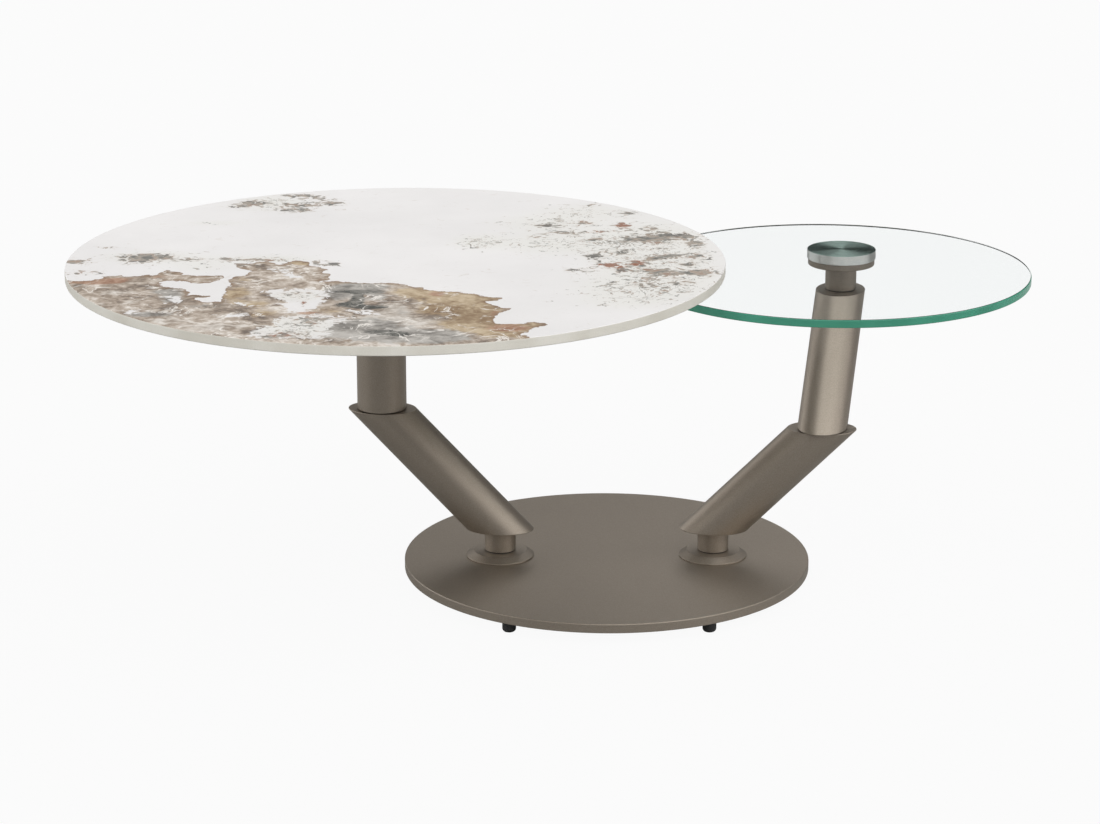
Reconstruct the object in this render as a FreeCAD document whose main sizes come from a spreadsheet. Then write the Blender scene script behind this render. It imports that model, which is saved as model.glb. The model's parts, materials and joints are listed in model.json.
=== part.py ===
import FreeCAD, Part
import os
import re

import Sketcher
from FreeCAD import Vector

# A coffee table with two round tops at two heights. A large sintered stone top and a
# smaller glass top each stand on a slanted arm of round tube, and both arms turn on one
# heavy steel disc. Lengths are in millimetres and angles in degrees. The origin is on the
# floor under the middle of the disc, +X runs from the stone top to the glass top and +Z is up.

SIZES = {
    # Glide feet and the screws that hold them
    "foot_count": 6,
    "foot_inset": 14.0,
    "foot_diameter": 17.5,
    "foot_height": 14.0,
    "foot_edge_radius": 4.6,
    "foot_recess_diameter": 6.6,
    "foot_recess_depth": 5.0,
    "foot_screw_head_diameter": 6.0,
    "foot_screw_head_height": 2.5,
    "foot_screw_diameter": 3.5,
    "foot_screw_bite": 8.0,
    # Base disc
    "base_diameter": 520.0,
    "base_thickness": 12.0,
    "base_edge_radius": 1.2,
    "pivot_spacing": 274.0,
    # Countersunk bolts that pull the two base spindles down
    "base_bolt_count": 2,
    "base_bolt_diameter": 12.0,
    "base_bolt_head_diameter": 24.0,
    "base_bolt_head_height": 6.0,
    "base_bolt_length": 28.0,
    # Conical collars
    "collar_diameter": 87.0,
    "collar_top_diameter": 68.0,
    "collar_height": 8.0,
    "collar_rim_height": 2.0,
    # Turning hardware, the same at every swivel
    "spindle_diameter": 25.0,
    "base_spindle_flange_diameter": 58.0,
    "spindle_flange_diameter": 44.0,
    "spindle_flange_thickness": 5.0,
    "stud_diameter": 16.0,
    "stud_length": 12.5,
    "thrust_washer_diameter": 38.0,
    "thrust_washer_thickness": 1.0,
    "retaining_washer_diameter": 31.0,
    "retaining_washer_thickness": 3.0,
    "nut_across_flats": 24.0,
    "nut_height": 8.0,
    "bush_diameter": 32.0,
    "bearing_plate_thickness": 12.0,
    # Posts and slanted arms
    "post_diameter": 40.0,
    "post_length": 27.5,
    "tube_diameter": 63.0,
    "tube_wall": 2.5,
    "cap_thickness": 5.0,
    "arm_slant": 45.0,
    "left_arm_rise": 153.5,
    "left_arm_azimuth": 169.9,
    "right_arm_rise": 137.0,
    "right_arm_azimuth": -3.4,
    # Gap in which the glass top passes under the stone top
    "pass_gap": 29.5,
    # Upright column and the plates under the stone top
    "column_flange_diameter": 120.0,
    "column_flange_thickness": 6.0,
    "mount_plate_diameter": 260.0,
    "mount_plate_thickness": 6.0,
    "mount_plate_edge_radius": 1.0,
    "mount_screw_count": 4,
    "mount_screw_circle_diameter": 94.0,
    "mount_screw_diameter": 8.0,
    "mount_screw_head_diameter": 14.0,
    "mount_screw_head_height": 4.0,
    "bond_diameter": 240.0,
    "bond_thickness": 2.0,
    # Stone top
    "stone_diameter": 800.0,
    "stone_thickness": 12.0,
    "stone_edge_radius": 1.2,
    "stone_offset": 154.6,
    "stone_azimuth": -79.4,
    # Leaning upper arm under the glass
    "upper_arm_rise": 144.0,
    "upper_arm_slant": 50.0,
    "upper_arm_azimuth": 76.0,
    # Neck, flange and turned puck under the glass
    "neck_diameter": 40.0,
    "neck_length": 32.0,
    "glass_flange_diameter": 85.5,
    "glass_flange_thickness": 8.0,
    "glass_flange_edge_radius": 1.2,
    "puck_diameter": 88.0,
    "puck_thickness": 12.0,
    "puck_edge_radius": 0.8,
    "glass_screw_diameter": 10.0,
    "glass_screw_head_diameter": 16.0,
    "glass_screw_head_height": 5.0,
    "glass_screw_bite": 8.0,
    # Glass top
    "glass_diameter": 500.0,
    "glass_thickness": 10.0,
    "glass_edge_radius": 1.5,
    "glass_offset": 120.0,
    "glass_azimuth": -101.5,
    # Clearances: radial for a shaft that turns, radial for a fixed seat, radial for a loose
    # hole, along the axis where a washer keeps a swivel together, and past the end of a screw
    "running_clearance": 0.05,
    "seat_clearance": 0.02,
    "hole_clearance": 0.3,
    "turning_gap": 0.5,
    "tip_gap": 0.5,
    # Length by which a cutting solid passes the piece that it cuts
    "overrun": 40.0,
}

# Places and sizes that follow from the sheet, in the sheet's own words
PLACES = {
    "base_top": "foot_height + base_thickness",
    "foot_circle_radius": "base_diameter / 2 - foot_inset",
    "collar_top": "base_top + collar_height",
    "post_bottom": "collar_top + thrust_washer_thickness",
    "arm_bottom": "post_bottom + post_length",
    "right_pivot_x": "pivot_spacing / 2",
    "left_pivot_x": "-pivot_spacing / 2",
    "shaft_radius": "spindle_diameter / 2",
    "bush_bore_radius": "shaft_radius + running_clearance",
    "bush_radius": "bush_diameter / 2",
    "bush_seat_radius": "bush_radius + seat_clearance",
    "tube_radius": "tube_diameter / 2",
    "tube_bore_radius": "tube_radius - tube_wall",
    "left_reach": "left_arm_rise / tan(arm_slant)",
    "left_elbow_x": "left_pivot_x + left_reach * cos(left_arm_azimuth)",
    "left_elbow_y": "left_reach * sin(left_arm_azimuth)",
    "left_elbow_z": "arm_bottom + left_arm_rise",
    "right_reach": "right_arm_rise / tan(arm_slant)",
    "right_elbow_x": "right_pivot_x + right_reach * cos(right_arm_azimuth)",
    "right_elbow_y": "right_reach * sin(right_arm_azimuth)",
    "right_elbow_z": "arm_bottom + right_arm_rise",
    "column_bottom": "left_elbow_z + thrust_washer_thickness",
    "stone_bottom": "glass_bottom + glass_thickness + pass_gap",
    "bond_bottom": "stone_bottom - bond_thickness",
    "mount_plate_bottom": "bond_bottom - mount_plate_thickness",
    "column_top": "mount_plate_bottom - column_flange_thickness",
    "column_length": "column_top - column_bottom",
    "stone_x": "left_elbow_x + stone_offset * cos(stone_azimuth)",
    "stone_y": "left_elbow_y + stone_offset * sin(stone_azimuth)",
    "upper_bottom": "right_elbow_z + thrust_washer_thickness",
    "upper_reach": "upper_arm_rise / tan(upper_arm_slant)",
    "neck_x": "right_elbow_x + upper_reach * cos(upper_arm_azimuth)",
    "neck_y": "right_elbow_y + upper_reach * sin(upper_arm_azimuth)",
    "upper_top": "upper_bottom + upper_arm_rise",
    "neck_bottom": "upper_top + thrust_washer_thickness",
    "glass_flange_bottom": "neck_bottom + neck_length",
    "puck_bottom": "glass_flange_bottom + glass_flange_thickness",
    "glass_bottom": "puck_bottom + puck_thickness",
    "glass_x": "neck_x + glass_offset * cos(glass_azimuth)",
    "glass_y": "neck_y + glass_offset * sin(glass_azimuth)",
    # Heights of a spindle's shoulder above the seat of its flange
    "base_shoulder": "collar_height + thrust_washer_thickness + post_length + cap_thickness + turning_gap",
    "elbow_shoulder": "spindle_flange_thickness + cap_thickness + thrust_washer_thickness"
                      " + bearing_plate_thickness + turning_gap",
}

doc = FreeCAD.newDocument("SwivelCoffeeTable")
sheet = doc.addObject("Spreadsheet::Sheet", "Sizes")
for row, (alias, value) in enumerate(SIZES.items(), start=1):
    sheet.set(f"A{row}", alias)
    sheet.set(f"B{row}", str(value))
    sheet.setAlias(f"B{row}", alias)
doc.recompute()

nodes = []


def sized(words):
    """The expression with every place worked out and every size read from the sheet."""
    def read(match):
        word = match[0]
        if word in PLACES:
            return f"({sized(PLACES[word])})"
        return f"{sheet.Name}.{word}" if word in SIZES else word
    return re.sub(r"[a-z][a-z_]*", read, words)


def number(words):
    """The value that an expression has now, for drawing a sketch near its final shape."""
    return float(sheet.evalExpression(sized(words)))


def bind(piece, **sizes):
    """Tie properties of a piece to expressions."""
    for name, words in sizes.items():
        piece.setExpression(name, sized(words))


def put(piece, at, yaw="0", pitch="0"):
    """Place a piece at x, y, z, leaned by pitch about Y and then turned by yaw about Z."""
    x, y, z = at
    piece.setExpression("Placement", sized(
        f"placement(vector({x}; {y}; {z}); rotation({yaw}; {pitch}; 0))"))


def origin_feature(body, role):
    """One of a body's own origin planes or axes."""
    return next(f for f in body.Origin.OriginFeatures if f.Role == role)


def hold(sketch, kind, line, words):
    """Fix the start of a sketch line at a distance from the sketch's origin."""
    if words == "0":
        axis = -2 if kind == "DistanceX" else -1
        sketch.addConstraint(Sketcher.Constraint("PointOnObject", line, 1, axis))
        return
    place = Sketcher.Constraint(kind, -1, 1, line, 1, number(words))
    index = sketch.addConstraint(place)
    sketch.setExpression(f"Constraints[{index}]", sized(words))


def half_section(body, name, outline, axis_x):
    """Draw a closed half section of radius and height pairs beside the axis at axis_x."""
    sketch = body.newObject("Sketcher::SketchObject", name)
    sketch.AttachmentSupport = (origin_feature(body, "XZ_Plane"), [""])
    sketch.MapMode = "FlatFace"
    if axis_x != "0":
        outline = [(axis_x if r == "0" else f"{axis_x} + {r}", z) for r, z in outline]
    points = [Vector(number(r), number(z), 0) for r, z in outline]
    count = len(points)
    for i in range(count):
        sketch.addGeometry(Part.LineSegment(points[i], points[(i + 1) % count]))
    for i, (radius, height) in enumerate(outline):
        sketch.addConstraint(Sketcher.Constraint("Coincident", i, 2, (i + 1) % count, 1))
        hold(sketch, "DistanceX", i, radius)
        hold(sketch, "DistanceY", i, height)
    if axis_x == "0":
        return sketch, "V_Axis"
    foot = Vector(number(axis_x), 0, 0)
    line = Part.LineSegment(foot, foot + Vector(0, number("overrun"), 0))
    axis = sketch.addGeometry(line, True)
    sketch.addConstraint(Sketcher.Constraint("Vertical", axis))
    hold(sketch, "DistanceX", axis, axis_x)
    return sketch, "Axis0"


def spin(body, kind, outline, axis_x, count):
    """Turn a half section into a Revolution or a Groove, repeated round the body's own axis."""
    name = f"{body.Name}_{len(body.Group)}"
    sketch, axis = half_section(body, f"{name}_section", outline, axis_x)
    doc.recompute()
    feature = body.newObject(f"PartDesign::{kind}", name)
    feature.Profile = sketch
    feature.ReferenceAxis = (sketch, [axis])
    feature.Angle = 360
    doc.recompute()
    if count:
        pattern = body.newObject("PartDesign::PolarPattern", f"{name}_round")
        pattern.Originals = [feature]
        pattern.Axis = (origin_feature(body, "Z_Axis"), [""])
        pattern.Angle = 360
        bind(pattern, Occurrences=count)
        body.Tip = pattern
        doc.recompute()
    return body.Tip


def turned(label, outline, at, axis_x="0", count=None):
    """A piece turned on a lathe, or a ring of equal ones, as a node of its own."""
    body = doc.addObject("PartDesign::Body", label)
    body.Label = label
    spin(body, "Revolution", outline, axis_x, count)
    put(body, at)
    nodes.append(body)
    return body


def drilled(body, outline, axis_x="0", count=None):
    """Cut a turned hole into a body, or a ring of equal ones."""
    before = body.Tip.Shape.Volume
    spin(body, "Groove", outline, axis_x, count)
    if body.Tip.Shape.Volume >= before:
        raise ValueError(f"a hole in {body.Label} cuts nothing")


def rounded(body, radius, wanted):
    """Round the circular edges of a body that are wanted by their radius and height."""
    sharp = body.Tip
    edges = []
    for index, edge in enumerate(sharp.Shape.Edges, start=1):
        if edge.Closed and wanted(edge.Curve.Radius, edge.Curve.Center.z):
            edges.append(f"Edge{index}")
    fillet = body.newObject("PartDesign::Fillet", f"{body.Name}_edge")
    fillet.Base = (sharp, edges)
    bind(fillet, Radius=radius)
    body.Tip = fillet
    doc.recompute()


def rim_of(diameter):
    """A test for the edges on a disc's outer rim."""
    rim_radius = number(f"{diameter} / 2")
    return lambda radius, height: abs(radius - rim_radius) < Part.Precision.confusion()


def ring_outline(inner, outer, length):
    """The half section of a tube, washer or bush."""
    return [(inner, "0"), (outer, "0"), (outer, length), (inner, length)]


def disc_outline(radius, thickness):
    """The half section of a solid disc."""
    return ring_outline("0", radius, thickness)


def screw_outline(head_diameter, head_height, diameter, length):
    """The half section of a screw that stands on its flat head."""
    return [("0", "0"), (f"{head_diameter} / 2", "0"), (f"{head_diameter} / 2", head_height),
            (f"{diameter} / 2", head_height), (f"{diameter} / 2", length), ("0", length)]


def primitive(kind, name, **sizes):
    """A Part primitive whose sizes follow the sheet."""
    piece = doc.addObject(f"Part::{kind}", name)
    bind(piece, **sizes)
    return piece


def boolean(kind, name, base, tool):
    """A Part cut or common of two pieces."""
    piece = doc.addObject(f"Part::{kind}", name)
    piece.Base = base
    piece.Tool = tool
    return piece


def node(piece, label):
    """Make a Part piece a node of its own."""
    piece.Label = label
    nodes.append(piece)


def make_base():
    """The steel disc on its six glide feet, with the countersunk bolts of both spindles."""
    plate = turned("base_plate", disc_outline("base_diameter / 2", "base_thickness"),
                   ("0", "0", "foot_height"))
    rounded(plate, "base_edge_radius", rim_of("base_diameter"))
    hole = "base_bolt_diameter / 2 + hole_clearance"
    sink = "base_bolt_head_diameter / 2 + hole_clearance"
    drilled(plate, [("0", "0"), (sink, "0"), (hole, "base_bolt_head_height"),
                    (hole, "base_thickness"), ("0", "base_thickness")],
            "pivot_spacing / 2", "base_bolt_count")
    drilled(plate, disc_outline("foot_screw_diameter / 2 + seat_clearance", "foot_screw_bite + tip_gap"),
            "foot_circle_radius", "foot_count")

    foot_hole = "foot_screw_diameter / 2 + hole_clearance"
    recess = "foot_recess_diameter / 2"
    feet = turned("glide_feet",
                  [(recess, "0"), ("foot_diameter / 2", "0"), ("foot_diameter / 2", "foot_height"),
                   (foot_hole, "foot_height"), (foot_hole, "foot_recess_depth"), (recess, "foot_recess_depth")],
                  ("0", "0", "0"), "foot_circle_radius", "foot_count")
    on_rim = rim_of("foot_diameter")
    middle = number("foot_height / 2")
    rounded(feet, "foot_edge_radius", lambda radius, height: on_rim(radius, height) and height < middle)
    turned("foot_screws",
           screw_outline("foot_screw_head_diameter", "foot_screw_head_height", "foot_screw_diameter",
                         "foot_screw_head_height + foot_height - foot_recess_depth + foot_screw_bite"),
           ("0", "0", "foot_recess_depth - foot_screw_head_height"),
           "foot_circle_radius", "foot_count")
    shank = "base_bolt_diameter / 2"
    turned("base_spindle_bolts",
           [("0", "0"), ("base_bolt_head_diameter / 2", "0"), (shank, "base_bolt_head_height"),
            (shank, "base_bolt_length"), ("0", "base_bolt_length")],
           ("0", "0", "foot_height"), "pivot_spacing / 2", "base_bolt_count")


def make_retainer(prefix, x, y, shoulder_z):
    """The washer and thin nut on a spindle's stud, which keep a swivel together."""
    bore = "stud_diameter / 2 + seat_clearance"
    turned(f"{prefix}_retaining_washer",
           ring_outline(bore, "retaining_washer_diameter / 2", "retaining_washer_thickness"),
           (x, y, shoulder_z))
    nut_z = f"{shoulder_z} + retaining_washer_thickness"
    blank = primitive("Prism", f"{prefix}_nut_blank", Circumradius="nut_across_flats / sqrt(3)",
                      Height="nut_height")
    blank.Polygon = 6
    put(blank, (x, y, nut_z))
    thread = primitive("Cylinder", f"{prefix}_nut_thread", Radius=bore, Height="nut_height")
    put(thread, (x, y, nut_z))
    node(boolean("Cut", f"{prefix}_nut_cut", blank, thread), f"{prefix}_nut")


def make_thrust_washer(prefix, x, y, z):
    """The black plastic washer that shows as a thin dark line at a swivel."""
    turned(f"{prefix}_thrust_washer",
           ring_outline("shaft_radius + hole_clearance", "thrust_washer_diameter / 2",
                        "thrust_washer_thickness"), (x, y, z))


def make_bush(prefix, x, y, z, length):
    """The plain bush in which a spindle turns."""
    turned(f"{prefix}_bush", ring_outline("bush_bore_radius", "bush_radius", length), (x, y, z))


def make_base_swivel(side, x):
    """One collar with the spindle that it hides, and the turning post round that spindle."""
    recess = "base_spindle_flange_diameter / 2 + hole_clearance"
    bore = "shaft_radius + hole_clearance"
    turned(f"{side}_base_collar",
           [(recess, "0"), ("collar_diameter / 2", "0"), ("collar_diameter / 2", "collar_rim_height"),
            ("collar_top_diameter / 2", "collar_height"), (bore, "collar_height"),
            (bore, "spindle_flange_thickness"), (recess, "spindle_flange_thickness")],
           (x, "0", "base_top"))
    tap = "base_bolt_diameter / 2 + seat_clearance"
    tap_depth = "base_bolt_length - base_thickness + tip_gap"
    stud_top = "base_shoulder + stud_length"
    turned(f"{side}_base_spindle",
           [(tap, "0"), ("base_spindle_flange_diameter / 2", "0"),
            ("base_spindle_flange_diameter / 2", "spindle_flange_thickness"),
            ("shaft_radius", "spindle_flange_thickness"), ("shaft_radius", "base_shoulder"),
            ("stud_diameter / 2", "base_shoulder"), ("stud_diameter / 2", stud_top),
            ("0", stud_top), ("0", tap_depth), (tap, tap_depth)],
           (x, "0", "base_top"))
    make_thrust_washer(f"{side}_base", x, "0", "collar_top")
    make_retainer(f"{side}_base", x, "0", "base_top + base_shoulder")
    turned(f"{side}_post", ring_outline("bush_seat_radius", "post_diameter / 2", "post_length"),
           (x, "0", "post_bottom"))
    make_bush(f"{side}_post", x, "0", "post_bottom", "post_length")


def make_elbow_spindle(prefix, x, y, cap_top):
    """A spindle whose flange is under an arm's head cap and whose stud stands above it."""
    stud_top = "elbow_shoulder + stud_length"
    turned(f"{prefix}_spindle",
           [("0", "0"), ("spindle_flange_diameter / 2", "0"),
            ("spindle_flange_diameter / 2", "spindle_flange_thickness"),
            ("shaft_radius", "spindle_flange_thickness"), ("shaft_radius", "elbow_shoulder"),
            ("stud_diameter / 2", "elbow_shoulder"), ("stud_diameter / 2", stud_top), ("0", stud_top)],
           (x, y, f"{cap_top} - cap_thickness - spindle_flange_thickness"))
    make_thrust_washer(prefix, x, y, cap_top)
    make_retainer(prefix, x, y, f"{cap_top} - cap_thickness - spindle_flange_thickness + elbow_shoulder")


def make_arm(prefix, foot, head, azimuth, slant, rise, foot_thickness, foot_hole):
    """A slanted round tube cut level at both ends and closed by a welded cap at each.

    foot and head are the x, y, z of the axis at the two level cuts. The caps are slices of
    the same slanted bar as the tube, so its outline runs through them unbroken.
    """
    foot_x, foot_y, foot_z = foot
    head_x, head_y, head_z = head
    lean = f"90 - {slant}"
    start = (f"{foot_x} - overrun * cos({slant}) * cos({azimuth})",
             f"{foot_y} - overrun * cos({slant}) * sin({azimuth})",
             f"{foot_z} - overrun * sin({slant})")
    length = f"{rise} / sin({slant}) + 2 * overrun"
    bar = primitive("Cylinder", f"{prefix}_bar", Radius="tube_radius", Height=length)
    put(bar, start, azimuth, lean)
    bore = primitive("Cylinder", f"{prefix}_bore", Radius="tube_bore_radius", Height=length)
    put(bore, start, azimuth, lean)
    pipe = boolean("Cut", f"{prefix}_pipe", bar, bore)

    margin = f"tube_diameter / sin({slant})"
    width = f"2 * ({rise} / tan({slant}) + {margin})"

    def slab(name, low, thickness):
        level = primitive("Box", f"{prefix}_{name}_slab", Length=width, Width=width, Height=thickness)
        put(level, (f"{foot_x} - {width} / 2", f"{foot_y} - {width} / 2", low))
        return level

    def cap(name, low, thickness, x, y, hole_radius):
        slice_piece = boolean("Common", f"{prefix}_{name}_slice", bar, slab(name, low, thickness))
        hole = primitive("Cylinder", f"{prefix}_{name}_hole", Radius=hole_radius,
                         Height=f"{thickness} + 2 * overrun")
        put(hole, (x, y, f"{low} - overrun"))
        node(boolean("Cut", f"{prefix}_{name}_cut", slice_piece, hole), f"{prefix}_{name}")

    tube_low = f"{foot_z} + {foot_thickness}"
    tube_length = f"{rise} - {foot_thickness} - cap_thickness"
    node(boolean("Common", f"{prefix}_level_pipe", pipe, slab("tube", tube_low, tube_length)),
         f"{prefix}_tube")
    cap("foot_cap", foot_z, foot_thickness, foot_x, foot_y, foot_hole)
    cap("head_cap", f"{head_z} - cap_thickness", "cap_thickness", head_x, head_y,
        "shaft_radius + seat_clearance")


def make_lower_arms():
    """Both lower arms, each with the spindle of its elbow."""
    for side in ("left", "right"):
        pivot_x = f"{side}_pivot_x"
        elbow = (f"{side}_elbow_x", f"{side}_elbow_y", f"{side}_elbow_z")
        make_base_swivel(side, pivot_x)
        make_arm(f"{side}_lower", (pivot_x, "0", "arm_bottom"), elbow, f"{side}_arm_azimuth", "arm_slant",
                 f"{side}_arm_rise", "cap_thickness", "shaft_radius + hole_clearance")
        make_elbow_spindle(f"{side}_elbow", *elbow)


def make_stone_column():
    """The upright column on the left elbow, the bolted plates on it and the stone top."""
    x = "left_elbow_x"
    y = "left_elbow_y"
    turned("column_tube", ring_outline("tube_bore_radius", "tube_radius", "column_length"),
           (x, y, "column_bottom"))
    turned("column_foot_plate",
           ring_outline("bush_seat_radius", "tube_bore_radius - seat_clearance", "bearing_plate_thickness"),
           (x, y, "column_bottom"))
    make_bush("column", x, y, "column_bottom", "bearing_plate_thickness")

    screw_ring = "mount_screw_circle_diameter / 2"
    flange = turned("column_flange", disc_outline("column_flange_diameter / 2", "column_flange_thickness"),
                    (x, y, "column_top"))
    drilled(flange, disc_outline("mount_screw_diameter / 2 + hole_clearance", "column_flange_thickness"),
            screw_ring, "mount_screw_count")
    plate = turned("stone_mount_plate", disc_outline("mount_plate_diameter / 2", "mount_plate_thickness"),
                   (x, y, "mount_plate_bottom"))
    rounded(plate, "mount_plate_edge_radius", rim_of("mount_plate_diameter"))
    drilled(plate, disc_outline("mount_screw_diameter / 2 + seat_clearance", "mount_plate_thickness"),
            screw_ring, "mount_screw_count")
    turned("mount_screws",
           screw_outline("mount_screw_head_diameter", "mount_screw_head_height", "mount_screw_diameter",
                         "mount_screw_head_height + column_flange_thickness"
                         " + mount_plate_thickness - tip_gap"),
           (x, y, "column_top - mount_screw_head_height"), screw_ring, "mount_screw_count")
    turned("stone_bond", disc_outline("bond_diameter / 2", "bond_thickness"), (x, y, "bond_bottom"))
    stone = turned("stone_top", disc_outline("stone_diameter / 2", "stone_thickness"),
                   ("stone_x", "stone_y", "stone_bottom"))
    rounded(stone, "stone_edge_radius", rim_of("stone_diameter"))


def make_glass_side():
    """The leaning upper arm on the right elbow, and the swivelling neck that carries the glass."""
    make_arm("upper", ("right_elbow_x", "right_elbow_y", "upper_bottom"), ("neck_x", "neck_y", "upper_top"),
             "upper_arm_azimuth", "upper_arm_slant", "upper_arm_rise", "bearing_plate_thickness",
             "bush_seat_radius")
    make_bush("upper", "right_elbow_x", "right_elbow_y", "upper_bottom", "bearing_plate_thickness")
    make_elbow_spindle("neck", "neck_x", "neck_y", "upper_top")

    x = "neck_x"
    y = "neck_y"
    turned("glass_neck", ring_outline("bush_seat_radius", "neck_diameter / 2", "neck_length"),
           (x, y, "neck_bottom"))
    make_bush("neck", x, y, "neck_bottom", "bearing_plate_thickness")
    flange = turned("glass_flange",
                    ring_outline("glass_screw_diameter / 2 + hole_clearance", "glass_flange_diameter / 2",
                                 "glass_flange_thickness"), (x, y, "glass_flange_bottom"))
    rounded(flange, "glass_flange_edge_radius", rim_of("glass_flange_diameter"))
    tap = "glass_screw_diameter / 2 + seat_clearance"
    tap_depth = "glass_screw_bite + tip_gap"
    puck = turned("glass_puck",
                  [(tap, "0"), ("puck_diameter / 2", "0"), ("puck_diameter / 2", "puck_thickness"),
                   ("0", "puck_thickness"), ("0", tap_depth), (tap, tap_depth)],
                  (x, y, "puck_bottom"))
    rounded(puck, "puck_edge_radius", rim_of("puck_diameter"))
    turned("glass_screw",
           screw_outline("glass_screw_head_diameter", "glass_screw_head_height", "glass_screw_diameter",
                         "glass_screw_head_height + glass_flange_thickness + glass_screw_bite"),
           (x, y, "glass_flange_bottom - glass_screw_head_height"))
    glass = turned("glass_top", disc_outline("glass_diameter / 2", "glass_thickness"),
                   ("glass_x", "glass_y", "glass_bottom"))
    rounded(glass, "glass_edge_radius", rim_of("glass_diameter"))


def write_nodes():
    """Check every object of the document, then write one STEP file for each node."""
    doc.recompute()
    for piece in doc.Objects:
        if "Invalid" in piece.State or "Error" in piece.State:
            raise ValueError(f"{piece.Label} failed: {piece.State}")
    for piece in nodes:
        if piece.Shape.isNull() or not piece.Shape.isValid():
            raise ValueError(f"{piece.Label} has no valid shape")
    os.makedirs("parts", exist_ok=True)
    for piece in nodes:
        piece.Shape.exportStep(f"parts/{piece.Label}.step")
        print(piece.Label, len(piece.Shape.Solids), "solids", round(piece.Shape.Volume), "mm3")


make_base()
make_lower_arms()
make_stone_column()
make_glass_side()
write_nodes()
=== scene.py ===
# %% [markdown]
# # A swivel coffee table, dressed step by step
# The table has two round tops at two heights. A large stone top stands on an upright column, a smaller
# glass top on a leaning tube, and both turn on slanted arms over one heavy steel disc.
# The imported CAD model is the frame: it says where every piece is and which body it moves with. This
# lesson leaves the frame where it is and gives the table smooth skins, finishes, light and a camera.

# %% Load the frame and keep its box
import json
import math
from collections import namedtuple

import bmesh
import bpy
import numpy as np
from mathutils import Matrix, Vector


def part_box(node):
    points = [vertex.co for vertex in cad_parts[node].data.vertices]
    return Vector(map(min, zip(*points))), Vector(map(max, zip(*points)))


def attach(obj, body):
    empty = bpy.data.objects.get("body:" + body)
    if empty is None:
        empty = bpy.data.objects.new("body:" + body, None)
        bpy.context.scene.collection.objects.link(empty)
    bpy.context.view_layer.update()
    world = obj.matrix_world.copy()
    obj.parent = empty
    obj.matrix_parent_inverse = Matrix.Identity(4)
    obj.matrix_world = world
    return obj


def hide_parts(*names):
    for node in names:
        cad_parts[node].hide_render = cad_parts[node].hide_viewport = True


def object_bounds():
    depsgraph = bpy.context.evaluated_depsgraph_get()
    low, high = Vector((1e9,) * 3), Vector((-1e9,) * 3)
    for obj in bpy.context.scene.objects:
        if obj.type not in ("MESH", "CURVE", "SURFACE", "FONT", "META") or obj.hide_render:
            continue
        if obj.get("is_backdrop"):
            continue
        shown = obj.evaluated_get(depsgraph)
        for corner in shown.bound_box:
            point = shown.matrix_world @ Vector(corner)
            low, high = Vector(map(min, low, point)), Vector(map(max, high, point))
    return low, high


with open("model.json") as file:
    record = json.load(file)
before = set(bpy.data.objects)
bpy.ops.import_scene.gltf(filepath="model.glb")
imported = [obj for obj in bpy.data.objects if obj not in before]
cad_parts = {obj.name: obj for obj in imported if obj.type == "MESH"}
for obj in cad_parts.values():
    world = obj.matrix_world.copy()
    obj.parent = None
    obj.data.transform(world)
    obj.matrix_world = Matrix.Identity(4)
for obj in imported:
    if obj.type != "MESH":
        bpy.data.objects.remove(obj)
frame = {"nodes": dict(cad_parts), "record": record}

scene = bpy.context.scene
cad_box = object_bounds()

# %% [markdown]
# ## Measuring the frame
# Nearly every piece of this table is round and upright, so its box already gives its axis, its radius
# and its two levels. The lesson reads these from the frame instead of writing them again, so that the
# skins always lie where the CAD pieces are.

# %% Read a round piece from its box
MM = 0.001
Round = namedtuple("Round", "x y radius bottom top")


def measure(node):
    """Axis, radius and levels of an upright round node, from the corners of its box."""
    low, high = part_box(node)
    return Round((low.x + high.x) / 2, (low.y + high.y) / 2, (high.x - low.x) / 2, low.z, high.z)


disc = measure("base_plate")
stone = measure("stone_top")
glass = measure("glass_top")
column = measure("column_tube")
print("tops of", round(stone.radius * 2 / MM), "and", round(glass.radius * 2 / MM), "mm over a disc of",
      round(disc.radius * 2 / MM), "mm")

# %% [markdown]
# ## One way to make every skin
# A turned disc, a tube and a slanted arm cut level at both ends have one thing in common: each is a
# stack of level ovals. A disc's ovals are circles on one axis, and a slanted tube's ovals are longer
# along its lean and step sideways as they rise. So one recipe makes them all: list the ovals at the
# corners of the section, round each corner with an arc, and lay quads between neighbouring rows.
# Blender could also spin a curve and bevel its edges, but then the slanted tubes would need another way.

# %% Level ovals
AROUND = 192


def oval(x, y, z, along, across=None, azimuth=0.0, around=AROUND):
    """A level oval: centre + along·cos(t)·a + across·sin(t)·b.

    The direction a points to the azimuth, and b is a quarter turn to its left.
    """
    across = along if across is None else across
    t = np.linspace(0, 2 * np.pi, around, endpoint=False)
    a = np.array([math.cos(azimuth), math.sin(azimuth), 0])
    b = np.array([-math.sin(azimuth), math.cos(azimuth), 0])
    return np.array([x, y, z]) + along * np.cos(t)[:, None] * a + across * np.sin(t)[:, None] * b


def stack(piece, levels, around=AROUND):
    """Level circles on a round piece's axis, one for each radius and level."""
    return [oval(piece.x, piece.y, z, radius, around=around) for radius, z in levels]


print("ovals of", AROUND, "points each")

# %% Rounded corners
ARC_STEPS = 6
HOLD_SHARE = 0.2


def unit(vectors):
    """Each vector divided by its length."""
    return vectors / np.linalg.norm(vectors, axis=-1, keepdims=True)


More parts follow.
